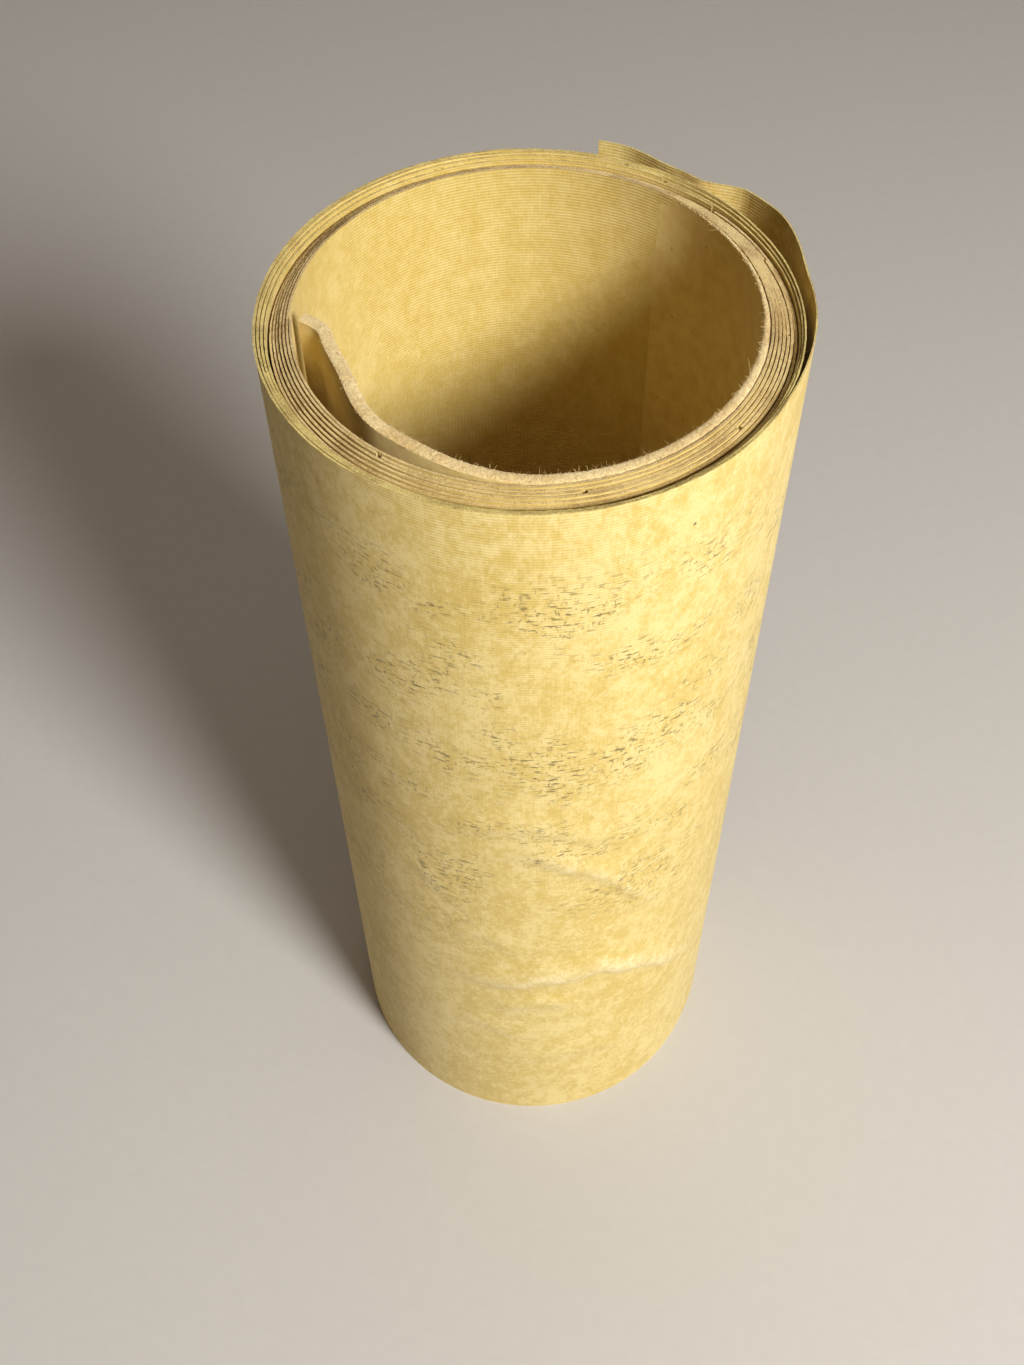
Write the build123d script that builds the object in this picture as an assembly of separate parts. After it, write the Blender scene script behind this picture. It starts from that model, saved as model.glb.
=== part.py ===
"""A loose roll of thin coated cloth sheets, standing on end.

Ten thin sheets are wound one after another into one outward spiral: six make an inner bundle and four
make an outer wrap, with a wider gap between the two. Their tops dip towards that gap. A thick soft
sheet lines part of the bore, and its inner end has sprung away from the wall. The outer sheet's free
end stands off the roll as a flap.

Units are millimetres and degrees. +Z is up and the roll stands on z = 0. Angles run counter-clockwise
from +X, seen from above, and -Y is the front. Every sheet has the same section from foot to top, so
each one slides endwise out of the others.
"""

from build123d import *
import os
from math import ceil, cos, degrees, hypot, radians, sin

# Thin sheets
SHEET_WIDTH = 230.0  # the cut width, which is the height of the standing roll
SHEET_LENGTH = 286.0  # the cut length, wound round the roll
SHEET_THICKNESS = 0.2
INNER_SHEETS = 6
OUTER_SHEETS = 4
RIM_DIP = 1.75  # the last sheet of the inner bundle is this much narrower than the innermost one

# Winding
BORE_RADIUS = 39.4  # centre of the innermost thin sheet, where it begins
START_ANGLE = 182.0  # where the innermost thin sheet begins
END_GAP = 0.9  # along the winding, from one sheet's end to the next one's beginning
INNER_SLACK = 0.41  # mean free space between turns of the inner bundle
INNER_SLACK_SHIFT = 0.04  # it is this much wider at its loose side, and narrower opposite
INNER_LOOSE_SIDE = 350.0  # the direction of that side
OUTER_SLACK = 0.29  # the same three for the outer wrap
OUTER_SLACK_SHIFT = 0.12
OUTER_LOOSE_SIDE = 150.0
WRAP_GAP = 0.2  # extra gap between the inner bundle and the outer wrap

# The outer sheet's free end: lift off the roll at distances back along the sheet from its end
FLAP = ((0.0, 3.8), (4.0, 3.8), (14.0, 1.6), (20.5, 1.3), (28.0, 5.0), (35.0, 5.4), (52.0, 2.1), (82.0, 0.0))

# Thick sheet in the bore
LINING_THICKNESS = 2.3  # where it is loose, along its sprung end and the front
LINING_PRESSED = 0.5  # where it is pressed flat, at its outer end
PRESS_RAMP = (295.0, 400.0)  # it thins between these angles
LINING_CLEARANCE = 0.25  # from the innermost thin sheet
LINING_END_ANGLE = 415.0  # its outer end, past the right-hand side

# Its sprung inner end: how far its centre stands in from where it would lie on the wall, at angles
SPRUNG = ((186.0, 4.1), (203.0, 5.05), (230.0, 2.7), (276.0, 0.0))
TIP_ANGLE = 181.2  # the tip turns back to the wall here
TIP_CLEARANCE = 0.3  # from the tip to the wall
BEND_REACH = 2.6  # how far along each leg the rounding of the bend reaches

# How finely a winding is divided into arcs
STEP = 5.0
BEND_POINTS = 5  # points along the rounding of the lining's bend


def turn_slack(angle: float, outer: bool) -> float:
    """Free space between one turn and the next in this direction."""
    if outer:
        return OUTER_SLACK + OUTER_SLACK_SHIFT * cos(radians(angle - OUTER_LOOSE_SIDE))
    return INNER_SLACK + INNER_SLACK_SHIFT * cos(radians(angle - INNER_LOOSE_SIDE))


def turn_radius(angle: float, wrap_start: float | None) -> float:
    """Centre radius of the winding at a total angle; past wrap_start it is the outer wrap."""
    inner_end = angle if wrap_start is None else wrap_start
    radius = BORE_RADIUS
    radius += (inner_end - START_ANGLE) / 360 * (SHEET_THICKNESS + turn_slack(angle, False))
    if wrap_start is not None:
        radius += WRAP_GAP + (angle - wrap_start) / 360 * (SHEET_THICKNESS + turn_slack(angle, True))
    return radius


def sheet_width(number: int) -> float:
    """Width of a thin sheet, counted from the innermost one; the roll's top dips in the middle."""
    if number <= INNER_SHEETS:
        return SHEET_WIDTH - RIM_DIP * (number - 1) / (INNER_SHEETS - 1)
    return SHEET_WIDTH - RIM_DIP * ((INNER_SHEETS + OUTER_SHEETS - number) / OUTER_SHEETS) ** 2


def wound_to(start: float, length: float, wrap_start: float | None) -> float:
    """Total angle at which a sheet of this length, begun at start, ends."""
    angle, travelled, step = start, 0.0, STEP / 20
    while True:
        gain = turn_radius(angle + step / 2, wrap_start) * radians(step)
        if travelled + gain >= length:
            return angle + step * (length - travelled) / gain
        travelled, angle = travelled + gain, angle + step


def eased(points: tuple, place: float) -> float:
    """Value at a place on a list of (place, value) points, with a smooth change between them."""
    if place <= points[0][0]:
        return points[0][1]
    for (a, low), (b, high) in zip(points, points[1:]):
        if place <= b:
            return low + (high - low) * (1 - cos(radians(180) * (place - a) / (b - a))) / 2
    return points[-1][1]


def stations(start: float, end: float) -> list[float]:
    """Evenly spaced angles from start to end, at most a step apart, in an even number of parts."""
    parts = 2 * ceil((end - start) / (2 * STEP))
    return [start + (end - start) * k / parts for k in range(parts + 1)]


def polar(radius: float, angle: float) -> tuple[float, float]:
    """Point at this radius and angle."""
    return radius * cos(radians(angle)), radius * sin(radians(angle))


def side(points: list) -> list:
    """Arcs through a row of points, each through three of them; a last odd one ends in a line."""
    edges = []
    for k in range(0, len(points) - 2, 2):
        edges.append(ThreePointArc(points[k], points[k + 1], points[k + 2]))
    if len(points) % 2 == 0:
        edges.append(Line(points[-2], points[-1]))
    return edges


def band(centres: list, widths: list, height: float) -> Solid:
    """A sheet on edge: a strip of the given widths along a row of centres, raised to height."""
    left, right = [], []
    for k, (x, y) in enumerate(centres):
        before, after = centres[max(k - 1, 0)], centres[min(k + 1, len(centres) - 1)]
        along = (after[0] - before[0], after[1] - before[1])
        half = widths[k] / 2 / hypot(*along)
        left.append((x - along[1] * half, y + along[0] * half))
        right.append((x + along[1] * half, y - along[0] * half))
    edges = side(right) + [Line(right[-1], left[-1])] + side(left[::-1]) + [Line(left[0], right[0])]
    return extrude(Face(Wire(edges)), height, dir=(0, 0, 1)).solid()


def thin_sheet(start: float, end: float, wrap_start: float | None, height: float, flap: bool) -> Solid:
    """One thin sheet, wound from start to end."""
    centres = []
    for angle in stations(start, end):
        radius = turn_radius(angle, wrap_start)
        if flap:
            radius += eased(FLAP, radians(end - angle) * radius)
        centres.append(polar(radius, angle))
    return band(centres, [SHEET_THICKNESS] * len(centres), height)


def lining_centre(angle: float) -> float:
    """Centre radius of the thick sheet where it lies on the wall or springs in from it."""
    face = turn_radius(angle, None) - SHEET_THICKNESS / 2 - LINING_CLEARANCE
    return face - lining_thickness(angle) / 2 - eased(SPRUNG, angle)


def lining_thickness(angle: float) -> float:
    """Thickness of the thick sheet, which is pressed thinner towards its outer end."""
    ramp = ((PRESS_RAMP[0], LINING_THICKNESS), (PRESS_RAMP[1], LINING_PRESSED))
    return eased(ramp, angle)


def inner_lining() -> Solid:
    """The thick sheet: its tip, a rounded bend, the sprung leg, and the rest lying on the wall."""
    bend_angle, bend_depth = SPRUNG[0]
    bend = polar(lining_centre(bend_angle), bend_angle)
    tip = polar(lining_centre(TIP_ANGLE) + bend_depth - TIP_CLEARANCE, TIP_ANGLE)
    leg = hypot(tip[0] - bend[0], tip[1] - bend[1])
    leaving = bend_angle + degrees(BEND_REACH / lining_centre(bend_angle))
    before = tuple(b + (t - b) * BEND_REACH / leg for b, t in zip(bend, tip))
    after = polar(lining_centre(leaving), leaving)
    centres, widths = [tip], [LINING_THICKNESS]
    for part in (k / BEND_POINTS for k in range(BEND_POINTS)):
        keep, mix, reach = (1 - part) ** 2, 2 * part * (1 - part), part**2
        centres.append(tuple(keep * p + mix * b + reach * q for p, b, q in zip(before, bend, after)))
        widths.append(LINING_THICKNESS)
    for angle in stations(leaving, LINING_END_ANGLE):
        centres.append(polar(lining_centre(angle), angle))
        widths.append(lining_thickness(angle))
    return band(centres, widths, SHEET_WIDTH)


def build() -> dict:
    """Every sheet by name, in the roll's own axes."""
    sheets, start, wrap_start = {}, START_ANGLE, None
    for number in range(1, INNER_SHEETS + OUTER_SHEETS + 1):
        outer = number > INNER_SHEETS
        if outer and wrap_start is None:
            wrap_start = start
        end = wound_to(start, SHEET_LENGTH, wrap_start)
        last = number == INNER_SHEETS + OUTER_SHEETS
        name = "outer_sheet" if last else f"sheet_{number:02d}"
        sheets[name] = thin_sheet(start, end, wrap_start, sheet_width(number), last)
        print(name, f"from {start % 360:.1f} to {end % 360:.1f} degrees, a wrap of {end - start:.1f}")
        start = end + degrees(END_GAP / turn_radius(end, wrap_start))
    sheets["inner_lining"] = inner_lining()
    return sheets


def main() -> None:
    """Centre the roll's box on the origin, foot on z = 0, and write each sheet to its own file."""
    os.makedirs("parts", exist_ok=True)
    sheets = build()
    box = Compound(list(sheets.values())).bounding_box()
    shift = Pos(-(box.min.X + box.max.X) / 2, -(box.min.Y + box.max.Y) / 2, 0)
    print(f"roll axis at {shift.position.X:.3f}, {shift.position.Y:.3f}")
    print(f"box {box.size.X:.2f} x {box.size.Y:.2f} x {box.size.Z:.2f}")
    for name, sheet in sheets.items():
        export_step(shift * sheet, f"parts/{name}.step")


main()
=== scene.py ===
"""A loose roll of thin coated cloth sheets standing on end, built in Blender around its CAD frame.

Lengths are in metres and angles in degrees, in the frame's own axes: +Z up the roll, -Y the front.
Each sheet starts as a flat grid of its cut size and is wound onto the same spiral as its CAD solid.
"""

from __future__ import annotations

import logging
import math
from collections.abc import Iterable
from dataclasses import dataclass
from enum import Enum

import bmesh
import bpy
import numpy as np
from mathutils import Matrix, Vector

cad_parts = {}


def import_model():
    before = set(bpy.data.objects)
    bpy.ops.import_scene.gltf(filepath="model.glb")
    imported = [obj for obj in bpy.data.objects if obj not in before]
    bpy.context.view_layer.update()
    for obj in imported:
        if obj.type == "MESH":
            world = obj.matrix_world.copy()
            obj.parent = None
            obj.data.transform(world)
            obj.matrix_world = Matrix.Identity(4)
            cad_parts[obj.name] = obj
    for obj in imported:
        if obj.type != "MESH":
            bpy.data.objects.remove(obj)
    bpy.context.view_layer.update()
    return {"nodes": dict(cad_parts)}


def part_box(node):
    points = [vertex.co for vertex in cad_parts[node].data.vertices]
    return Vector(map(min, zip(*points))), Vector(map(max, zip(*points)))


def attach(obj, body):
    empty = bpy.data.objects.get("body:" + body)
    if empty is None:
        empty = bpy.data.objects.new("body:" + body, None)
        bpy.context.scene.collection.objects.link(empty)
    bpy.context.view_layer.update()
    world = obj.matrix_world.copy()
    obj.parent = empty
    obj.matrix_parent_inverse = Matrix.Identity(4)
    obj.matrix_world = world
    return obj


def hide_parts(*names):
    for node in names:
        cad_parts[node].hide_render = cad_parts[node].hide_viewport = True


LOG = logging.getLogger("cloth_roll")
MM = 0.001
SMOOTH_ANGLE = 40.0
OUTLINE_POINTS = 4000  # points along a sheet where its outline is measured
EDGE_POWER = 8  # how quickly the unevenness of a top cut edge fades below it

Array = np.ndarray
Material = bpy.types.Material
Mesh = bpy.types.Mesh
Piece = bpy.types.Object
Socket = bpy.types.NodeSocket
Colour = tuple[float, float, float, float]
Pair = tuple[float, float]
Triple = tuple[float, float, float]
Pairs = tuple[Pair, ...]

# Colours of the coating, of the marks on it and of the painted highlight on crease ridges, in linear light
PALE = (0.82, 0.665, 0.29, 1.0)
GOLDEN = (0.67, 0.50, 0.14, 1.0)
STAIN = (0.38, 0.25, 0.06, 1.0)
# painted highlight: lightens the coating along the tops of the crease ridges
PAINTED_HIGHLIGHT = (0.93, 0.87, 0.66, 1.0)
DARK_THREAD = (0.17, 0.125, 0.035, 1.0)
SOOT = (0.09, 0.075, 0.03, 1.0)


# Shader maths


class Value:
    """A number that varies over a surface: a socket whose operators add Math nodes."""

    def __init__(self, shader: Shader, socket: Socket) -> None:
        """Wraps a socket of a shader's node tree."""
        self.shader = shader
        self.socket = socket

    def _math(self, operation: str, *others: Value | float, swap: bool = False) -> Value:
        """Adds one Math node on this value and the others; swap puts this value last."""
        operands = [*others, self] if swap else [self, *others]
        return self.shader.value("ShaderNodeMath", {"operation": operation}, dict(enumerate(operands)))

    def __add__(self, other: Value | float) -> Value:
        """Sum."""
        return self._math("ADD", other)

    __radd__ = __add__

    def __sub__(self, other: Value | float) -> Value:
        """Difference."""
        return self._math("SUBTRACT", other)

    def __rsub__(self, other: float) -> Value:
        """Difference, this value taken off a number."""
        return self._math("SUBTRACT", other, swap=True)

    def __mul__(self, other: Value | float) -> Value:
        """Product."""
        return self._math("MULTIPLY", other)

    __rmul__ = __mul__

    def sine(self) -> Value:
        """Sine of an angle in radians."""
        return self._math("SINE")

    def larger(self, other: Value | float) -> Value:
        """The larger of two values."""
        return self._math("MAXIMUM", other)

    def ramp(self, low: float, high: float, start: float = 0.0, end: float = 1.0) -> Value:
        """Smooth change from start to end as this value goes from low to high.

        Args:
            low: where the change begins.
            high: where it ends.
            start: the result at and below low.
            end: the result at and above high.

        Returns:
            The eased result.
        """
        settings = {"interpolation_type": "SMOOTHSTEP"}
        inputs = {"Value": self, "From Min": low, "From Max": high, "To Min": start, "To Max": end}
        return self.shader.value("ShaderNodeMapRange", settings, inputs)


class Shader:
    """One material's node tree, with a Principled surface."""

    SHEEN_ROUGHNESS = 0.6

    def __init__(self, name: str) -> None:
        """Makes an empty material with a surface and an output.

        Args:
            name: the material's name.
        """
        self.material = bpy.data.materials.new(name)
        self.material.use_nodes = True
        self.tree = self.material.node_tree
        self.tree.nodes.clear()
        self.surface = self.tree.nodes.new("ShaderNodeBsdfPrincipled")
        output = self.tree.nodes.new("ShaderNodeOutputMaterial")
        self.tree.links.new(self.surface.outputs[0], output.inputs["Surface"])

    def node(self, kind: str, settings: dict | None = None, inputs: dict | None = None) -> bpy.types.Node:
        """Adds one node.

        Args:
            kind: the node's type.
            settings: its properties, set first.
            inputs: numbers, colours, vectors, values or sockets by input name or index.

        Returns:
            The node.
        """
        node = self.tree.nodes.new(kind)
        for key, setting in (settings or {}).items():
            setattr(node, key, setting)
        for key, given in (inputs or {}).items():
            self.plug(node.inputs[key], given)
        return node

    def plug(self, target: Socket, given: object) -> None:
        """Links a value or socket to an input, or sets the input's own number.

        Args:
            target: the input.
            given: a value, a socket, or what the input is set to.
        """
        if isinstance(given, Value):
            given = given.socket
        if isinstance(given, Socket):
            self.tree.links.new(given, target)
        else:
            target.default_value = given

    def value(self, kind: str, settings: dict | None = None, inputs: dict | None = None) -> Value:
        """Adds a node, as node does, and wraps its first output."""
        return Value(self, self.node(kind, settings, inputs).outputs[0])

    def place(self, source: str, scale: Triple = (1, 1, 1)) -> Socket:
        """Object or UV coordinates, stretched by a scale for each axis."""
        coordinates = self.node("ShaderNodeTexCoord").outputs[source]
        return self.node("ShaderNodeMapping", {}, {"Vector": coordinates, "Scale": scale}).outputs[0]

    def noise(self, place: Socket, size: float, detail: float = 3.0, rough: float = 0.55) -> Value:
        """Cloudy noise from 0 to 1 whose features are about this size in metres."""
        inputs = {"Vector": place, "Scale": 1.0 / size, "Detail": detail, "Roughness": rough}
        return self.value("ShaderNodeTexNoise", {}, inputs)

    def blend(self, factor: Value | float, low: object, high: object) -> Socket:
        """Colour that goes from low to high with the factor."""
        node = self.node("ShaderNodeMix", {"data_type": "RGBA"}, {0: factor, 6: low, 7: high})
        return node.outputs[2]

    def bump(self, height: Value, distance: float, strength: float = 1.0) -> None:
        """Feeds a height from 0 to 1, of a real distance in metres, to the surface's normal."""
        node = self.node("ShaderNodeBump", {}, {"Height": height, "Distance": distance, "Strength": strength})
        self.plug(self.surface.inputs["Normal"], node.outputs[0])

    def finish(self, colour: object, roughness: Value | float, sheen: float = 0.0) -> Material:
        """Sets what the surface looks like.

        Args:
            colour: a colour or a socket for the base colour.
            roughness: the roughness, even or varying.
            sheen: the weight of the fibrous sheen.

        Returns:
            The finished material.
        """
        self.plug(self.surface.inputs["Base Color"], colour)
        self.plug(self.surface.inputs["Roughness"], roughness)
        self.surface.inputs["Sheen Weight"].default_value = sheen
        self.surface.inputs["Sheen Roughness"].default_value = self.SHEEN_ROUGHNESS
        return self.material


# Finishes


class Wear(Enum):
    """How far a sheet's face has been handled."""

    KEPT = "kept"
    HANDLED = "handled"


@dataclass(frozen=True)
class CoatedCloth:
    """Matt, thinly coated cloth: cloudy yellow, with a fine weave and, where handled, dark flecks."""

    name: str
    pale: Colour
    golden: Colour
    stain: Colour
    wear: Wear
    thread_pitch: float = 0.62 * MM
    upright_share: float = 0.83  # upright threads for each one that runs round
    thread_wander: float = 1.4  # radians
    wander_size: float = 9 * MM
    cloud_size: float = 24 * MM
    mottle_size: float = 3.4 * MM
    grain_size: float = 1.0 * MM
    tone_weights: Triple = (0.22, 0.40, 0.38)  # clouds, mottle, grain
    stain_size: float = 2.2 * MM
    stain_band: Pair = (0.60, 0.74)
    fleck_size: float = 0.9 * MM
    level_band: Pair = (0.545, 0.64)
    upright_band: Pair = (0.575, 0.67)
    patch_size: float = 17 * MM
    patch_band: Pair = (0.44, 0.62)
    flecks_begin: Pair = (70 * MM, 125 * MM)
    flecks_end: Pair = (205 * MM, 222 * MM)
    speck_band: Pair = (0.5 * MM, 0.8 * MM)
    speck_raggedness: float = 0.7 * MM
    relief: float = 0.12 * MM

    def weave(self, shader: Shader) -> Value:
        """Height of the plain weave: threads round the roll crossing threads up it.

        Args:
            shader: the shader to add to.

        Returns:
            A height from about 0 to 1.
        """
        cloth = shader.place("UV")
        wobble = shader.noise(cloth, self.wander_size, 2.0) * self.thread_wander
        split = shader.node("ShaderNodeSeparateXYZ", {}, {0: cloth})
        turns = 2 * math.pi / self.thread_pitch
        across = (Value(shader, split.outputs[1]) * turns + wobble).sine()
        along = (Value(shader, split.outputs[0]) * (turns * self.upright_share) + wobble).sine()
        return across * 0.38 + along * 0.06 + 0.5

    def clouds(self, shader: Shader) -> Value:
        """Cloudy change of tone at three sizes, from about 0 to 1.

        Args:
            shader: the shader to add to.

        Returns:
            The tone.
        """
        solid = shader.place("Object", (1.0, 1.0, 0.8))
        large = shader.noise(solid, self.cloud_size, 2.0)
        middle = shader.noise(solid, self.mottle_size, 4.0, 0.62)
        fine = shader.noise(solid, self.grain_size, 3.0, 0.7)
        cloud, mottle, grain = self.tone_weights
        return large * cloud + middle * mottle + fine * grain

    def flecks(self, shader: Shader) -> Value:
        """Scattered short dark flecks, level and upright, in a belt round the middle.

        Args:
            shader: the shader to add to.

        Returns:
            1 in a fleck and 0 outside.
        """
        level = shader.noise(shader.place("UV", (0.36, 1.2, 1.0)), self.fleck_size, 3.0, 0.6)
        level = level.ramp(*self.level_band)
        upright = shader.noise(shader.place("UV", (1.2, 0.45, 1.0)), self.fleck_size, 3.0, 0.6)
        fleck = level.larger(upright.ramp(*self.upright_band) * 0.8)
        patch = shader.noise(shader.place("UV", (0.7, 1.0, 1.0)), self.patch_size, 2.0)
        height = Value(shader, shader.node("ShaderNodeSeparateXYZ", {}, {0: shader.place("UV")}).outputs[1])
        belt = height.ramp(*self.flecks_begin) * height.ramp(*self.flecks_end, 1.0, 0.0)
        return fleck * patch.ramp(*self.patch_band) * belt

    def specks(self, shader: Shader, places: Iterable[Pair]) -> Value | float:
        """Single dark specks about a millimetre across.

        Args:
            shader: the shader to add to.
            places: distance along the sheet and height up it of each speck.

        Returns:
            1 in a speck and 0 outside.
        """
        cloth = shader.place("UV")
        ragged = shader.noise(cloth, 0.6 * MM) * self.speck_raggedness
        total = 0.0
        for along, up in places:
            spot = {0: cloth, 1: (along, up, 0.0)}
            away = shader.node("ShaderNodeVectorMath", {"operation": "DISTANCE"}, spot).outputs["Value"]
            total = (Value(shader, away) + ragged).ramp(*self.speck_band, 1.0, 0.0) + total
        return total

    def build(self, creases: bool = False, specks: Iterable[Pair] = ()) -> Material:
        """Makes the material.

        Args:
            creases: whether the piece has a crease attribute, which paints a highlight along the crease
                ridges.
            specks: distance along the sheet and height up it of each single dark speck.

        Returns:
            The material.
        """
        shader, handled = Shader(self.name), self.wear is Wear.HANDLED
        clouds, weave = self.clouds(shader), self.weave(shader)
        spread = 0.10 if handled else 0.19
        colour = shader.blend(clouds.ramp(0.5 - spread, 0.5 + spread), self.golden, self.pale)
        spots = shader.noise(shader.place("Object"), self.stain_size, 3.0, 0.7).ramp(*self.stain_band)
        colour = shader.blend(spots * (0.34 if handled else 0.06), colour, self.stain)
        colour = shader.blend((1 - weave) * 0.24, colour, self.stain)
        if handled:
            colour = shader.blend(self.flecks(shader) * 0.85, colour, DARK_THREAD)
        # Painted highlight: the coating is lightened along the crease ridges, most where they rise highest
        if creases:
            attribute = shader.node("ShaderNodeAttribute", {"attribute_name": "crease"})
            ridge_highlight = Value(shader, attribute.outputs["Fac"])
            colour = shader.blend(ridge_highlight * clouds.ramp(0.35, 0.7, 0.1, 0.45), colour, PAINTED_HIGHLIGHT)
        if specks:
            colour = shader.blend(self.specks(shader, specks) * 0.9, colour, SOOT)
        shader.bump(weave * 0.5 + clouds * 0.5, self.relief, 0.8)
        return shader.finish(colour, clouds * 0.22 + 0.50, 0.12)


@dataclass(frozen=True)
class CutEdge:
    """The cut edge of a sheet: pale fibres, duller in patches."""

    name: str
    pale: Colour
    dull: Colour
    fibre_size: float = 0.35 * MM
    patch_size: float = 6 * MM
    relief: float = 0.16 * MM
    sheen: float = 0.3

    def build(self) -> Material:
        """Makes the material.

        Returns:
            The material.
        """
        shader = Shader(self.name)
        solid = shader.place("Object")
        fibres = shader.noise(solid, self.fibre_size, 4.0, 0.75)
        patches = shader.noise(solid, self.patch_size, 3.0)
        tone = fibres * 0.6 + patches * 0.4
        colour = shader.blend(tone.ramp(0.36, 0.62), self.dull, self.pale)
        shader.bump(fibres, self.relief, 0.9)
        return shader.finish(colour, 0.85, self.sheen)


@dataclass(frozen=True)
class SoftCloth:
    """Thick soft cloth with a smooth, faintly mottled golden face and a few dark specks."""

    name: str
    pale: Colour = (0.80, 0.645, 0.27, 1.0)
    golden: Colour = (0.69, 0.505, 0.17, 1.0)
    speck: Colour = (0.18, 0.12, 0.04, 1.0)
    cloud_size: float = 24 * MM
    mottle_size: float = 3.4 * MM
    nap_size: float = 0.7 * MM
    speck_size: float = 1.1 * MM
    relief: float = 0.12 * MM
    sheen: float = 0.2

    def build(self) -> Material:
        """Makes the material.

        Returns:
            The material.
        """
        shader = Shader(self.name)
        solid = shader.place("Object")
        large = shader.noise(solid, self.cloud_size, 2.0)
        middle = shader.noise(solid, self.mottle_size, 4.0, 0.62)
        clouds = large * 0.3 + middle * 0.7
        nap = shader.noise(solid, self.nap_size, 3.0, 0.7)
        colour = shader.blend(clouds.ramp(0.31, 0.69), self.golden, self.pale)
        specks = shader.noise(solid, self.speck_size, 1.0).ramp(0.765, 0.80)
        colour = shader.blend(specks * 0.6, colour, self.speck)
        shader.bump(nap * 0.5 + clouds * 0.5, self.relief, 0.6)
        return shader.finish(colour, 0.72, self.sheen)


@dataclass(frozen=True)
class StudioFloor:
    """Plain pale matt floor."""

    name: str = "pale_floor"
    colour: Colour = (0.58, 0.555, 0.52, 1.0)
    shade: float = 0.94  # the darker grains, as a share of the colour
    grain_size: float = 4 * MM

    def build(self) -> Material:
        """Makes the material.

        Returns:
            The material.
        """
        shader = Shader(self.name)
        grain = shader.noise(shader.place("Object"), self.grain_size, 3.0)
        shade = tuple(channel * self.shade for channel in self.colour[:3]) + (1.0,)
        return shader.finish(shader.blend(grain, shade, self.colour), 0.8)


# The winding


def eased(points: Pairs, place: Array) -> Array:
    """Smooth change between listed values.

    Args:
        points: (place, value) pairs in order.
        place: where to read them.

    Returns:
        The values there.
    """
    knots = np.array(points)
    index = np.clip(np.searchsorted(knots[:, 0], place) - 1, 0, len(knots) - 2)
    low, high = knots[index], knots[index + 1]
    part = np.clip((place - low[..., 0]) / (high[..., 0] - low[..., 0]), 0, 1)
    return low[..., 1] + (high[..., 1] - low[..., 1]) * (1 - np.cos(np.pi * part)) / 2


@dataclass(frozen=True)
class Winding:
    """The outward spiral that the sheets follow, with a wider gap where the outer wrap begins."""

    sheet_length: float = 286.0 * MM
    sheet_thickness: float = 0.2 * MM
    inner_sheets: int = 6
    outer_sheets: int = 4
    bore_radius: float = 39.4 * MM
    start_angle: float = 182.0
    end_gap: float = 0.9 * MM
    # Mean free space between turns, how much it shifts to the loose side, and where that side is
    inner_slack: Triple = (0.41 * MM, 0.04 * MM, 350.0)
    outer_slack: Triple = (0.29 * MM, 0.12 * MM, 150.0)
    wrap_gap: float = 0.2 * MM
    step: float = 0.25  # degrees between the points where the winding is worked out
    longest: float = 460.0  # more degrees than any sheet turns through

    def pitch(self, angle: Array, outer: bool) -> Array:
        """Distance between the centres of two turns in a direction, in degrees."""
        mean, shift, loose = self.outer_slack if outer else self.inner_slack
        return self.sheet_thickness + mean + shift * np.cos(np.radians(angle - loose))

    def radius(self, angle: Array, wrap_start: float | None) -> Array:
        """Centre radius of the winding.

        Args:
            angle: the total angle from the direction of zero, in degrees.
            wrap_start: the total angle at which the outer wrap begins, or None in the inner bundle.

        Returns:
            The radius there.
        """
        inner_end = angle if wrap_start is None else wrap_start
        radius = self.bore_radius + (inner_end - self.start_angle) / 360 * self.pitch(angle, False)
        if wrap_start is not None:
            radius = radius + self.wrap_gap + (angle - wrap_start) / 360 * self.pitch(angle, True)
        return radius

    def angles(self, start: float, wrap_start: float | None, distance: Array) -> Array:
        """Total angles at distances along a sheet.

        Args:
            start: the total angle at which the sheet begins.
            wrap_start: as for radius.
            distance: distances from the sheet's inner end.

        Returns:
            The total angle at each distance.
        """
        fine = start + np.arange(0.0, self.longest, self.step)
        steps = self.radius(fine[:-1] + self.step / 2, wrap_start) * np.radians(self.step)
        return np.interp(distance, np.concatenate([[0.0], np.cumsum(steps)]), fine)


# Sheets


def deselect() -> None:
    """Clears the selection, so that an operator acts on what is added next."""
    for thing in list(bpy.context.selected_objects):
        thing.select_set(False)


def read(items: bpy.types.bpy_prop_collection, key: str, width: int, kind: type = float) -> Array:
    """Reads one property of many items.

    Args:
        items: vertices, corners or others.
        key: the property.
        width: how many numbers it has.
        kind: their type.

    Returns:
        A row for each item.
    """
    values = np.empty(len(items) * width, kind)
    items.foreach_get(key, values)
    return values.reshape(-1, width)


def set_points(mesh: Mesh, points: Array) -> None:
    """Moves a mesh's vertices."""
    mesh.vertices.foreach_set("co", points.ravel())
    mesh.update()


def around(axis: Array, radius: Array, angle: Array, up: Array) -> Array:
    """Points at radii, directions in degrees and heights round an axis, as rows."""
    turn = np.radians(angle)
    return np.stack([axis[0] + radius * np.cos(turn), axis[1] + radius * np.sin(turn), up], axis=1)


def ripple(seed: int, place: Array, waves: tuple[float, ...]) -> Array:
    """Smooth random change along a line, from about -1 to 1.

    Args:
        seed: which line this is.
        place: distances along it.
        waves: the wavelengths that are added up.

    Returns:
        The change at each distance.
    """
    rng = np.random.default_rng(seed)
    total = np.zeros_like(place)
    for wave in waves:
        total += np.sin(2 * np.pi * (place / wave + rng.random())) * rng.uniform(0.5, 1.0)
    return total / len(waves)


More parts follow.
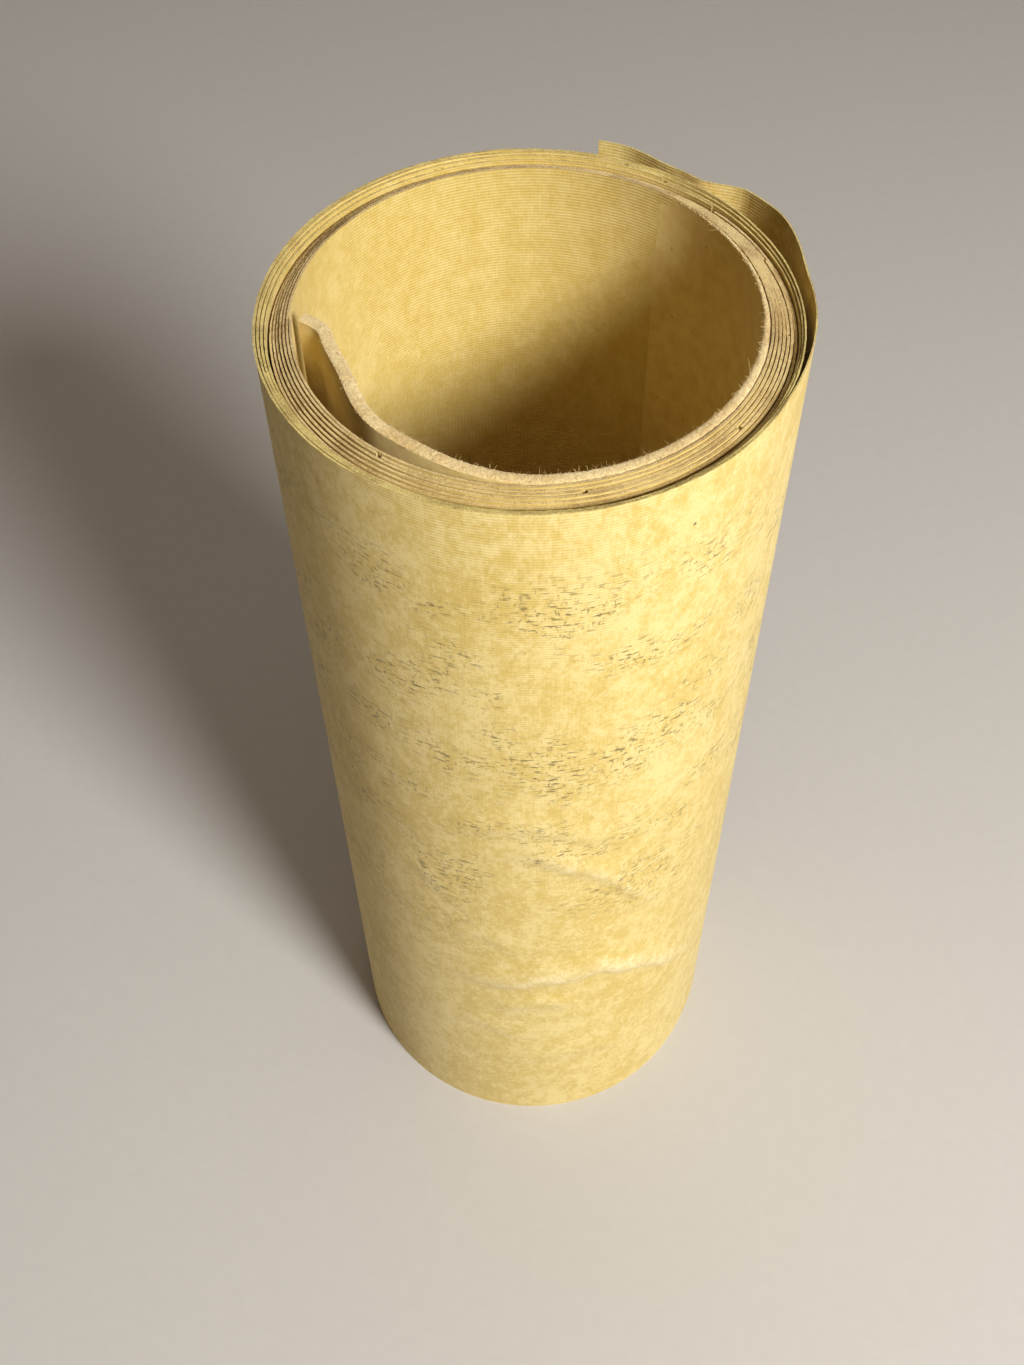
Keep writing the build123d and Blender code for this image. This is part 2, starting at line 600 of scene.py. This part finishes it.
@dataclass
class FlatSheet:
    """A flat rectangular grid of a sheet's cut size, ready to be wound."""

    name: str
    length: float
    width: float
    columns: int
    rows: int
    spread: Pairs = ()  # share of the rows, and of the width; if empty, rows crowd at both edges

    def add(self) -> tuple[Piece, Array, Array]:
        """Adds the grid, with a UV map in metres.

        Returns:
            The object, and each vertex's distance along the sheet and height up it.
        """
        deselect()
        bpy.ops.mesh.primitive_grid_add(x_subdivisions=self.columns, y_subdivisions=self.rows, size=1)
        piece = bpy.context.object
        piece.name = piece.data.name = self.name
        flat = read(piece.data.vertices, "co", 3) + 0.5
        along = flat[:, 0] * self.length
        up = (1 - np.cos(np.pi * flat[:, 1])) / 2 * self.width
        if self.spread:
            up = np.interp(flat[:, 1], *np.array(self.spread).T) * self.width
        corner = read(piece.data.loops, "vertex_index", 1, int)[:, 0]
        places = np.stack([along[corner], up[corner]], axis=1)
        piece.data.uv_layers[0].data.foreach_set("uv", places.ravel())
        return piece, along, up


def thicken(piece: Piece, thickness: Array, rounding: float = 0.0) -> None:
    """Gives a wound sheet its thickness, with its cut edges in the second material.

    Args:
        piece: the sheet.
        thickness: the thickness at each vertex.
        rounding: how far the top cut edge is rounded over.
    """
    one_side = len(piece.data.vertices)
    group = piece.vertex_groups.new(name="thickness")
    most = float(thickness.max())
    levels = np.round(thickness / most, 3)
    for level in np.unique(levels):
        group.add(np.flatnonzero(levels == level).tolist(), float(level), "REPLACE")
    bpy.context.view_layer.objects.active = piece
    solid = piece.modifiers.new("thickness", "SOLIDIFY")
    solid.thickness, solid.offset = most, 0.0
    solid.vertex_group = group.name
    solid.material_offset_rim = 1
    bpy.ops.object.modifier_apply(modifier=solid.name)
    if rounding:
        round_over(piece.data, one_side, rounding)
    piece.vertex_groups.clear()
    bpy.ops.object.shade_smooth_by_angle(angle=math.radians(SMOOTH_ANGLE))


def round_over(mesh: Mesh, one_side: int, drop: float, cuts: int = 6, reach: float = 2 * MM) -> None:
    """Divides a thick sheet's cut edges across and lowers their corners, so the top is domed.

    Args:
        mesh: the sheet's mesh, with its thickness.
        one_side: how many of its first vertices belong to its first face.
        drop: how far the top edge's corners are lowered.
        cuts: how many rows of points are added across the edges.
        reach: how far below the top the lowering fades.
    """
    shape = bmesh.new()
    shape.from_mesh(mesh)
    side = shape.verts.layers.float.new("side")
    for index, vertex in enumerate(shape.verts):
        vertex[side] = -1.0 if index < one_side else 1.0
    across = [edge for edge in shape.edges if edge.verts[0][side] != edge.verts[1][side]]
    bmesh.ops.subdivide_edges(shape, edges=across, cuts=cuts, use_grid_fill=True)
    top = max(vertex.co.z for vertex in shape.verts)
    for vertex in shape.verts:
        share = 1 - math.sqrt(max(1 - vertex[side] ** 2, 0.0))
        vertex.co.z -= drop * share * math.exp((vertex.co.z - top) / reach)
    shape.verts.layers.float.remove(side)
    shape.to_mesh(mesh)
    shape.free()


def fray(piece: Piece, seed: int, top: float, reach: float, amount: float) -> None:
    """Roughens a sheet's top cut edge.

    Args:
        piece: the sheet, with its thickness.
        seed: which edge this is.
        top: the height of the edge.
        reach: how far below the edge the roughness fades.
        amount: how far points move.
    """
    points = read(piece.data.vertices, "co", 3)
    share = np.clip(1 - (top - points[:, 2]) / reach, 0, 1)[:, None] ** 2
    shift = np.random.default_rng(seed).normal(0, amount, points.shape)
    set_points(piece.data, points + shift * share)


@dataclass
class FibreTuft:
    """Loose fibres that stand off a cut edge, each a thin closed spike with a bend."""

    name: str
    seed: int
    spread: Pair  # shortest and longest
    thickness: float
    shortness: float = 2.5  # the larger this is, the fewer the long fibres
    wildness: float = 0.45  # how far a fibre leans off its way
    bend: float = 0.45  # how far its tip swerves, as a share of its length
    sections: Pairs = ((0.0, 1.0), (0.4, 0.8), (0.75, 0.55))  # share of length, share of thickness

    def add(self, roots: Array, outwards: Array) -> Piece:
        """Adds one fibre at each root.

        Args:
            roots: where the fibres start.
            outwards: the way each one leaves, roughly.

        Returns:
            One object with all of them.
        """
        rng = np.random.default_rng(self.seed)
        vertices, faces = [], []
        for root, way in zip(roots, outwards):
            reach = self.spread[0] + (self.spread[1] - self.spread[0]) * rng.random() ** self.shortness
            lean = way + rng.normal(0, self.wildness, 3)
            lean /= np.linalg.norm(lean)
            swerve = np.cross(lean, rng.normal(0, 1, 3))
            swerve /= np.linalg.norm(swerve)
            first = len(vertices)
            for k, (part, wide) in enumerate(self.sections):
                centre = root + lean * reach * part + swerve * reach * self.bend * part**2
                side = np.cross(lean, swerve)
                for turn in range(3):
                    angle = 2 * math.pi * turn / 3
                    round_it = swerve * math.cos(angle) + side * math.sin(angle)
                    vertices.append(centre + round_it * self.thickness / 2 * wide)
                if k:
                    low = first + 3 * (k - 1)
                    for turn in range(3):
                        after = (turn + 1) % 3
                        faces.append((low + turn, low + after, low + 3 + after, low + 3 + turn))
            vertices.append(root + lean * reach + swerve * reach * self.bend)
            tip = len(vertices) - 1
            faces.append((first + 2, first + 1, first))
            faces += [(tip - 3 + turn, tip - 3 + (turn + 1) % 3, tip) for turn in range(3)]
        mesh = bpy.data.meshes.new(self.name)
        mesh.from_pydata([tuple(v) for v in vertices], [], faces)
        piece = bpy.data.objects.new(self.name, mesh)
        bpy.context.collection.objects.link(piece)
        return piece


@dataclass
class ThinSheet:
    """One thin sheet of the roll."""

    name: str
    number: int
    start: float
    wrap_start: float | None
    top: float
    winding: Winding
    columns: int = 420
    rows: int = 26
    row_spread: Pairs = ()
    body_thickness: float = 0.22 * MM
    edge_fill: float = 0.74  # how much of a turn's room its frayed cut edge fills
    edge_reach: float = 1.3 * MM  # how far below the edge it is swollen
    edge_wave: float = 0.16 * MM  # unevenness of the cut
    cut_waves: tuple[float, ...] = (0.19, 0.071, 0.023)  # lengths of its waves
    fray_reach: float = 0.9 * MM
    fray_amount: float = 0.028 * MM
    fibre_count: int = 130
    fibre_lengths: Pair = (0.25 * MM, 0.8 * MM)
    fibre_thickness: float = 0.07 * MM
    fibre_root: float = 0.25 * MM  # how far below the edge a fibre starts
    fibre_lean: float = 0.25

    def line(self, along: Array) -> tuple[Array, Array]:
        """Total angle and centre radius at distances along the sheet."""
        angle = self.winding.angles(self.start, self.wrap_start, along)
        return angle, self.winding.radius(angle, self.wrap_start)

    def lift(self, along: Array, up: Array) -> Array:
        """How far the sheet stands off its winding; a plain sheet lies on it."""
        return np.zeros_like(along)

    def build(self, axis: Array, finishes: list[Material]) -> Piece:
        """Winds the flat sheet, gives it thickness and a frayed edge, and dresses it.

        Args:
            axis: where the roll's axis stands.
            finishes: the materials of its faces and of its cut edges.

        Returns:
            The finished piece.
        """
        length = self.winding.sheet_length
        flat = FlatSheet(self.name, length, self.top, self.columns, self.rows, self.row_spread)
        piece, along, up = flat.add()
        angle, radius = self.line(along)
        radius = radius + self.lift(along, up)
        cut = ripple(self.number, along, self.cut_waves) * self.edge_wave
        high = up + (cut - self.edge_wave) * (up / self.top) ** EDGE_POWER
        set_points(piece.data, around(axis, radius, angle, high))
        room = self.winding.pitch(angle, self.wrap_start is not None) * self.edge_fill
        swell = np.exp((up - self.top) / self.edge_reach)
        for finish in finishes:
            piece.data.materials.append(finish)
        thicken(piece, self.body_thickness + (room - self.body_thickness) * swell)
        fray(piece, self.number, self.top, self.fray_reach, self.fray_amount)
        self.add_fibres(piece, axis)
        return piece

    def add_fibres(self, piece: Piece, axis: Array) -> None:
        """Joins loose thread ends to the top cut edge.

        Args:
            piece: the sheet.
            axis: where the roll's axis stands.
        """
        rng, count = np.random.default_rng(100 + self.number), self.fibre_count
        along = rng.uniform(0, self.winding.sheet_length, count)
        angle, radius = self.line(along)
        radius = radius + self.lift(along, np.full(count, self.top))
        roots = around(axis, radius, angle, np.full(count, self.top - self.fibre_root))
        outwards = np.tile([0.0, 0.0, 1.0], (count, 1)) + rng.normal(0, self.fibre_lean, (count, 3))
        name, seed = f"{self.name}_fibres", 200 + self.number
        tuft = FibreTuft(name, seed, self.fibre_lengths, self.fibre_thickness)
        join_into(piece, tuft.add(roots, outwards), 1)


@dataclass(frozen=True)
class Crease:
    """A soft fold pressed into a sheet: a ridge along a line, long above it and steep below."""

    line: Pairs  # angle in degrees and height in millimetres, by angle
    rise: float  # millimetres, as are above and below
    above: float = 5.5  # how far the ridge reaches up
    below: float = 1.5  # and down

    def height(self, angle: Array, up: Array) -> Array:
        """Rise of the surface, in millimetres.

        Args:
            angle: direction of each point, in degrees from 0 to 360.
            up: height of each point, in millimetres.

        Returns:
            The rise at each point.
        """
        line = np.array(self.line)
        off = up - np.interp(angle, line[:, 0], line[:, 1])
        first, last = line[0, 0], line[-1, 0]
        middle, half = (first + last) / 2, (last - first) / 2
        width = np.where(off > 0, self.above, self.below)
        share = np.exp(-(((angle - middle) / half) ** 4))
        return self.rise * share * np.exp(-((off / width) ** 2))


@dataclass
class OuterSheet(ThinSheet):
    """The outermost sheet, with its lifted, folded free end and soft creases, most across its front."""

    columns: int = 290
    rows: int = 156
    row_spread: Pairs = ((0.0, 0.0), (0.02, 0.004), (0.08, 0.10), (0.80, 0.64), (0.93, 0.985), (1.0, 1.0))
    body_thickness: float = 0.30 * MM
    # Millimetres back from the free end, and lift
    flap: Pairs = (
        (0.0, 3.8), (4.0, 3.8), (14.0, 1.6), (20.5, 1.3), (28.0, 5.0), (35.0, 5.4), (52.0, 2.1), (82.0, 0.0),
    )
    flap_softness: float = 0.55  # how far the folds are rounded, from straight runs at 0
    foot_lift: float = 0.62  # the flap's lift at the foot, as a share of that at the top
    crease_seed: int = 61
    crease_waves: tuple[float, ...] = (0.031, 0.013)
    crease_wander: float = 1.1  # millimetres
    full_crease: float = 1.1 * MM  # the rise at which the painted ridge highlight is strongest
    creases: tuple[Crease, ...] = (
        Crease(((254.0, 73.0), (272.0, 76.0), (290.0, 77.0), (303.0, 71.5), (328.0, 50.0)), 1.3, 6.0, 2.4),
        Crease(((268.0, 132.0), (284.0, 123.6), (292.0, 116.0), (305.0, 101.0)), 0.8, 5.0, 2.6),
        Crease(
            ((240.0, 130.0), (252.0, 138.0), (267.0, 142.5), (280.0, 138.0), (293.0, 131.0)), 0.45, 4.5, 2.2
        ),
        Crease(((261.0, 62.0), (271.0, 64.5), (283.0, 63.0)), 0.7, 2.6, 3.6),
        Crease(((246.0, 92.0), (256.0, 95.0), (268.0, 90.0)), 0.24),
        Crease(((236.0, 44.0), (252.0, 50.0), (270.0, 45.0)), 0.3),
        Crease(((292.0, 104.0), (304.0, 99.0), (318.0, 102.0)), 0.22),
        Crease(((262.0, 30.0), (280.0, 34.0), (300.0, 29.0)), 0.35, 6.0, 2.5),
        Crease(((222.0, 112.0), (236.0, 116.0), (250.0, 108.0)), 0.22),
        Crease(((120.0, 92.0), (145.0, 86.0), (170.0, 90.0)), 0.32),
        Crease(((92.0, 50.0), (116.0, 54.0), (140.0, 47.0)), 0.3),
        Crease(((4.0, 76.0), (20.0, 70.0), (38.0, 74.0)), 0.3),
    )

    def flap_lift(self, along: Array) -> Array:
        """Lift of the free end, with the straighter runs between folds that stiff cloth keeps.

        Args:
            along: distances along the sheet.

        Returns:
            The lift at each distance.
        """
        back = (self.winding.sheet_length - along) / MM
        knots = np.array(self.flap)
        soft = eased(self.flap, back)
        straight = np.interp(back, knots[:, 0], knots[:, 1])
        return (self.flap_softness * soft + (1 - self.flap_softness) * straight) * MM

    def crease_height(self, along: Array, up: Array) -> Array:
        """Outward rise of the soft creases.

        Args:
            along: distances along the sheet.
            up: heights.

        Returns:
            The rise at each point, in metres.
        """
        angle = self.line(along)[0] % 360
        wander = ripple(self.crease_seed, along, self.crease_waves) * self.crease_wander
        return sum(crease.height(angle, up / MM + wander) for crease in self.creases) * MM

    def lift(self, along: Array, up: Array) -> Array:
        """How far the sheet stands off its winding: the flap, and the creases below the rim."""
        share = self.foot_lift + (1 - self.foot_lift) * up / self.top
        return self.flap_lift(along) * share + self.crease_height(along, up)

    def build(self, axis: Array, finishes: list[Material]) -> Piece:
        """Winds and dresses the sheet, and stores its crease rise for the painted ridge highlight in the
        coating.

        Args:
            axis: where the roll's axis stands.
            finishes: the materials of its faces and of its cut edges.

        Returns:
            The finished piece.
        """
        piece = super().build(axis, finishes)
        mesh = piece.data
        places = read(mesh.uv_layers[0].data, "uv", 2)
        corner = read(mesh.loops, "vertex_index", 1, int)[:, 0]
        rise = np.zeros(len(mesh.vertices))
        rise[corner] = self.crease_height(places[:, 0], places[:, 1]) / self.full_crease
        # the stored rise sets the painted highlight on the crease ridges
        store = mesh.attributes.new("crease", "FLOAT", "POINT")
        store.data.foreach_set("value", np.clip(rise, 0, 1) ** 2)
        return piece


def join_into(piece: Piece, extra: Piece, slot: int) -> None:
    """Joins a mesh of fibres into a piece, in one of its material slots.

    Args:
        piece: the piece that stays.
        extra: the mesh that is taken up.
        slot: the material slot of the new faces.
    """
    for material in piece.data.materials:
        extra.data.materials.append(material)
    extra.data.polygons.foreach_set("material_index", [slot] * len(extra.data.polygons))
    deselect()
    extra.select_set(True)
    piece.select_set(True)
    bpy.context.view_layer.objects.active = piece
    bpy.ops.object.join()


@dataclass
class InnerLining:
    """The thick soft sheet in the bore, with its inner end sprung off the wall."""

    winding: Winding
    top: float
    name: str = "inner_lining_cloth"
    thickness: float = 2.3 * MM
    pressed: float = 0.5 * MM
    press_ramp: Pair = (295.0, 400.0)
    clearance: float = 0.25 * MM
    end_angle: float = 415.0
    feather: Pair = (24.0, 0.07)  # degrees before the outer end, share of thickness there
    cling: float = 32.0  # degrees before the outer end over which it closes on the wall
    # Direction in degrees, and millimetres that the sheet stands off the wall
    sprung: Pairs = ((186.0, 4.1), (203.0, 5.05), (230.0, 2.7), (276.0, 0.0))
    tip_angle: float = 181.2
    tip_clearance: float = 0.3 * MM
    bend_reach: float = 2.6 * MM
    bend_points: int = 24
    rounding: float = 0.26 * MM  # how far the top edge's corners are rounded down
    narrowing: float = 0.05  # how much thinner it is at the top edge
    narrow_reach: float = 0.9 * MM
    edge_wave: float = 0.22 * MM
    cut_waves: tuple[float, ...] = (0.11, 0.037, 0.011)
    fray_reach: float = 1.4 * MM
    fray_amount: float = 0.06 * MM
    # Number, shortest and longest, and seed of the fuzz and of the long fibres
    fluff: tuple[tuple[int, Pair, int], ...] = (
        (1500, (0.3 * MM, 1.1 * MM), 43),
        (14, (1.5 * MM, 3.6 * MM), 47),
    )
    fluff_thickness: float = 0.055 * MM
    fluff_root: float = 0.35 * MM  # how far below the edge a fibre starts
    columns: int = 560
    rows: int = 64

    def near_end(self, reach: float, share: float, angle: Array) -> Array:
        """1 along the sheet, easing to a share over the last degrees before its outer end."""
        return eased(((self.end_angle - reach, 1.0), (self.end_angle, share)), angle)

    def depth(self, angle: Array) -> Array:
        """Thickness of the sheet at an angle, down to the feathered outer end."""
        pressing = ((self.press_ramp[0], self.thickness), (self.press_ramp[1], self.pressed))
        return eased(pressing, angle) * self.near_end(*self.feather, angle)

    def centre(self, angle: Array) -> Array:
        """Centre radius of the sheet, whose outer end clings to the wall.

        Args:
            angle: total angles.

        Returns:
            The radius at each.
        """
        room = self.clearance * self.near_end(self.cling, 0.0, angle)
        face = self.winding.radius(angle, None) - self.winding.sheet_thickness / 2 - room
        return face - self.depth(angle) / 2 - eased(self.sprung, angle) * MM

    def route(self) -> tuple[Array, Array]:
        """The sheet's centre line from its tip, and the angle that sets its thickness.

        Returns:
            Rows of x and y from the roll's axis, and the angles.
        """
        bend_angle, bend_depth = self.sprung[0]

        def spot(radius: float, angle: float) -> Array:
            """The x and y of a radius and direction."""
            return radius * np.array([math.cos(math.radians(angle)), math.sin(math.radians(angle))])

        def middle(angle: float) -> float:
            """The sheet's centre radius in one direction."""
            return float(self.centre(np.array([angle]))[0])

        bend = spot(middle(bend_angle), bend_angle)
        tip = spot(middle(self.tip_angle) + bend_depth * MM - self.tip_clearance, self.tip_angle)
        leaving = bend_angle + math.degrees(self.bend_reach / middle(bend_angle))
        before = bend + (tip - bend) * self.bend_reach / np.linalg.norm(tip - bend)
        after = spot(middle(leaving), leaving)
        part = np.linspace(0, 1, self.bend_points)[:, None]
        leg = tip + (before - tip) * part
        corner = (1 - part) ** 2 * before + 2 * part * (1 - part) * bend + part**2 * after
        angles = np.arange(leaving, self.end_angle, self.winding.step)
        turn = np.radians(angles)
        rest = self.centre(angles)[:, None] * np.stack([np.cos(turn), np.sin(turn)], axis=1)
        line = np.concatenate([leg[:-1], corner[:-1], rest])
        return line, np.concatenate([np.full(len(line) - len(angles), leaving), angles])

    def build(self, axis: Array, finishes: list[Material]) -> tuple[Piece, float]:
        """Bends the flat sheet along its route, thickens it and fluffs its edge.

        Args:
            axis: where the roll's axis stands.
            finishes: the materials of its faces and of its cut edges.

        Returns:
            The finished piece, and its flat length.
        """
        line, angles = self.route()
        steps = np.linalg.norm(np.diff(line, axis=0), axis=1)
        distance = np.concatenate([[0.0], np.cumsum(steps)])
        length = float(distance[-1])
        piece, along, up = FlatSheet(self.name, length, self.top, self.columns, self.rows).add()
        x, y = (np.interp(along, distance, line[:, k]) for k in (0, 1))
        wave = ripple(31, along, self.cut_waves) * self.edge_wave
        high = up + (wave - self.edge_wave) * (up / self.top) ** EDGE_POWER
        set_points(piece.data, np.stack([axis[0] + x, axis[1] + y, high], axis=1))
        for finish in finishes:
            piece.data.materials.append(finish)
        narrowing = 1 - self.narrowing * np.exp((up - self.top) / self.narrow_reach)
        thicken(piece, self.depth(np.interp(along, distance, angles)) * narrowing, self.rounding)
        fray(piece, 37, self.top, self.fray_reach, self.fray_amount)
        self.add_fluff(piece, axis, line, angles)
        return piece, length

    def add_fluff(self, piece: Piece, axis: Array, line: Array, angles: Array) -> None:
        """Joins a fuzz of fibres to the top edge, and a few long ones.

        Args:
            piece: the sheet.
            axis: where the roll's axis stands.
            line: the sheet's centre line.
            angles: the angle at each of its points.
        """
        rng = np.random.default_rng(41)
        inwards = np.gradient(line, axis=0)
        inwards = np.stack([-inwards[:, 1], inwards[:, 0]], axis=1)
        inwards /= np.linalg.norm(inwards, axis=1)[:, None]
        for count, spread, seed in self.fluff:
            index = rng.integers(0, len(line), count)
            across = rng.uniform(-0.45, 0.5, count)
            shift = across * self.depth(angles[index])
            flat = axis[:2] + line[index] + inwards[index] * shift[:, None]
            roots = np.column_stack([flat, np.full(count, self.top - self.fluff_root)])
            lean = inwards[index] * (across * 1.6)[:, None]
            tuft = FibreTuft(f"{self.name}_fluff", seed, spread, self.fluff_thickness)
            join_into(piece, tuft.add(roots, np.column_stack([lean, np.full(count, 0.8)])), 1)


# The roll and the studio


@dataclass
class ClothRoll:
    """Thin sheets wound one after another round a thick soft one."""

    winding: Winding
    height: float
    specks: Pairs = ((304.2, 219.5),)  # degrees, and millimetres up

    def speck_places(self, sheet: ThinSheet) -> list[Pair]:
        """Finds where the single specks lie on a sheet.

        Args:
            sheet: the sheet.

        Returns:
            Distance along the sheet and height up it of each speck.
        """
        along = np.linspace(0, self.winding.sheet_length, OUTLINE_POINTS)
        angle = sheet.line(along)[0] % 360
        return [(float(along[np.abs(angle - turn).argmin()]), up * MM) for turn, up in self.specks]

    def thin_sheets(self) -> list[ThinSheet]:
        """Works out where each thin sheet begins, from the innermost one outwards.

        Returns:
            The sheets in winding order; the last one has the free end.
        """
        spiral, sheets = self.winding, []
        start, wrap_start = spiral.start_angle, None
        count = spiral.inner_sheets + spiral.outer_sheets
        for number in range(1, count + 1):
            outer = number > spiral.inner_sheets
            if outer and wrap_start is None:
                wrap_start = start
            kind = OuterSheet if number == count else ThinSheet
            node = "outer_sheet" if number == count else f"sheet_{number:02d}"
            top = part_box(node)[1][2]
            sheets.append(kind(f"{node}_cloth", number, start, wrap_start, top, spiral))
            end = float(spiral.angles(start, wrap_start, np.array([spiral.sheet_length]))[0])
            radius = float(spiral.radius(np.array([end]), wrap_start)[0])
            start = end + math.degrees(spiral.end_gap / radius)
        return sheets

    def axis(self, node: str, sheet: ThinSheet) -> Array:
        """Finds the roll's axis on the floor, by laying a sheet's outline on its CAD box.

        Args:
            node: the sheet's CAD node.
            sheet: the same sheet.

        Returns:
            The axis's x and y, and a height of nought.
        """
        angle, radius = sheet.line(np.linspace(0, self.winding.sheet_length, OUTLINE_POINTS))
        edge = radius + self.winding.sheet_thickness / 2
        own = np.stack([edge * np.cos(np.radians(angle)), edge * np.sin(np.radians(angle))])
        low, high = (np.array(corner)[:2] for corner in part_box(node))
        return np.append((low + high - own.min(axis=1) - own.max(axis=1)) / 2, 0.0)

    def build(self) -> Array:
        """Builds, dresses and places every sheet.

        Returns:
            The roll's axis on the floor.
        """
        face = CoatedCloth("coated_cloth", PALE, GOLDEN, STAIN, Wear.KEPT).build()
        sheets = self.thin_sheets()
        specks = self.speck_places(sheets[-1])
        worn = CoatedCloth("handled_cloth", PALE, GOLDEN, STAIN, Wear.HANDLED).build(True, specks)
        wrap_edge = CutEdge("wrap_cut_edge", (0.66, 0.53, 0.18, 1.0), (0.32, 0.22, 0.045, 1.0)).build()
        # Painted shade: the inner bundle's cut edges get a browner copy of the wrap's cut-edge colours,
        # standing in for the shade on their rim
        bundle_edge_painted_shade = CutEdge("bundle_cut_edge_painted_shade", (0.70, 0.535, 0.23, 1.0), (0.35, 0.215, 0.06, 1.0)).build()
        lining_face = SoftCloth("soft_cloth").build()
        fluff = CutEdge("fibrous_edge", (0.84, 0.68, 0.36, 1.0), (0.62, 0.43, 0.17, 1.0)).build()
        axis = self.axis("sheet_01", sheets[0])
        for sheet in sheets:
            node = sheet.name.removesuffix("_cloth")
            edge = bundle_edge_painted_shade if sheet.wrap_start is None else wrap_edge
            piece = sheet.build(axis, [worn if isinstance(sheet, OuterSheet) else face, edge])
            self.place(piece, node, "coated_cloth", (sheet.top, self.winding.sheet_length))
        lining = InnerLining(self.winding, self.height)
        piece, length = lining.build(axis, [lining_face, fluff])
        self.place(piece, "inner_lining", "soft_cloth", (lining.top, length))
        return axis

    def place(self, piece: Piece, node: str, slot: str, cut: Pair) -> None:
        """Ties a finished sheet to its CAD node.

        Args:
            piece: the sheet.
            node: the CAD node and body that it stands for.
            slot: the sheet's material slot; not used.
            cut: the sheet's cut width and length; not used.
        """
        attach(piece, node)
        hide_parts(node)
        LOG.info("%s: %d faces", piece.name, len(piece.data.polygons))


@dataclass(frozen=True)
class Lamp:
    """A soft round light that faces the roll."""

    name: str
    azimuth: float
    elevation: float
    distance: float
    size: float
    watts: float

    def add(self, aim: Vector) -> None:
        """Adds the light.

        Args:
            aim: the place that it faces.
        """
        turn, rise = math.radians(self.azimuth), math.radians(self.elevation)
        way = Vector((math.cos(rise) * math.cos(turn), math.cos(rise) * math.sin(turn), math.sin(rise)))
        lamp = bpy.data.objects.new(self.name, bpy.data.lights.new(self.name, "AREA"))
        bpy.context.collection.objects.link(lamp)
        lamp.data.shape, lamp.data.size, lamp.data.energy = "DISK", self.size, self.watts
        lamp.location = aim + way * self.distance
        lamp.rotation_euler = way.to_track_quat("Z", "Y").to_euler()


@dataclass
class Studio:
    """A pale floor, soft light from the front right, and a camera that looks down on the roll."""

    axis: Array
    aim: Triple = (0.0, 0.0, 0.11)
    camera_place: Triple = (0.45 * MM, -199.35 * MM, 394.6 * MM)
    camera_dip: float = 53.2
    lens: float = 40.3
    shift: float = -0.0159
    floor_size: float = 6.0
    lights: tuple[Lamp, ...] = (
        Lamp("key", -52.0, 38.0, 1.2, 0.36, 15.5),
        Lamp("fill", 95.0, 58.0, 1.6, 1.4, 2.6),
        Lamp("overhead", -70.0, 80.0, 1.5, 0.9, 2.0),
    )
    surround: Colour = (1.0, 0.72, 0.42, 1.0)
    surround_strength: float = 0.10

    def camera(self) -> None:
        """Adds the camera."""
        made = bpy.data.objects.new("camera", bpy.data.cameras.new("camera"))
        bpy.context.collection.objects.link(made)
        made.location = self.axis + np.array(self.camera_place)
        made.rotation_euler = (math.radians(90 - self.camera_dip), 0.0, 0.0)
        made.data.lens = self.lens
        made.data.shift_x = self.shift
        made.data.clip_start = 1 * MM
        bpy.context.scene.camera = made

    def floor(self) -> None:
        """Adds the floor, which isn't part of the roll."""
        deselect()
        bpy.ops.mesh.primitive_plane_add(size=self.floor_size)
        floor = bpy.context.object
        floor.name = "floor"
        floor.data.materials.append(StudioFloor().build())

    def lamps(self) -> None:
        """Adds the soft lights and a dim, even surround."""
        aim = Vector(self.axis + np.array(self.aim))
        for light in self.lights:
            light.add(aim)
        world = bpy.data.worlds.new("surround")
        world.use_nodes = True
        background = world.node_tree.nodes["Background"]
        background.inputs["Color"].default_value = self.surround
        background.inputs["Strength"].default_value = self.surround_strength
        bpy.context.scene.world = world
        bpy.context.scene.view_settings.view_transform = "Standard"
        bpy.context.scene.view_settings.look = "Medium High Contrast"


def main() -> None:
    """Builds the studio and the roll around the CAD frame."""
    logging.basicConfig(level=logging.INFO, format="%(name)s: %(message)s")
    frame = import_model()
    LOG.info("frame: %d nodes", len(frame["nodes"]))
    roll = ClothRoll(Winding(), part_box("inner_lining")[1][2])
    studio = Studio(roll.axis("sheet_01", roll.thin_sheets()[0]))
    studio.camera()
    studio.floor()
    studio.lamps()
    roll.build()


if __name__ == "__main__":
    main()
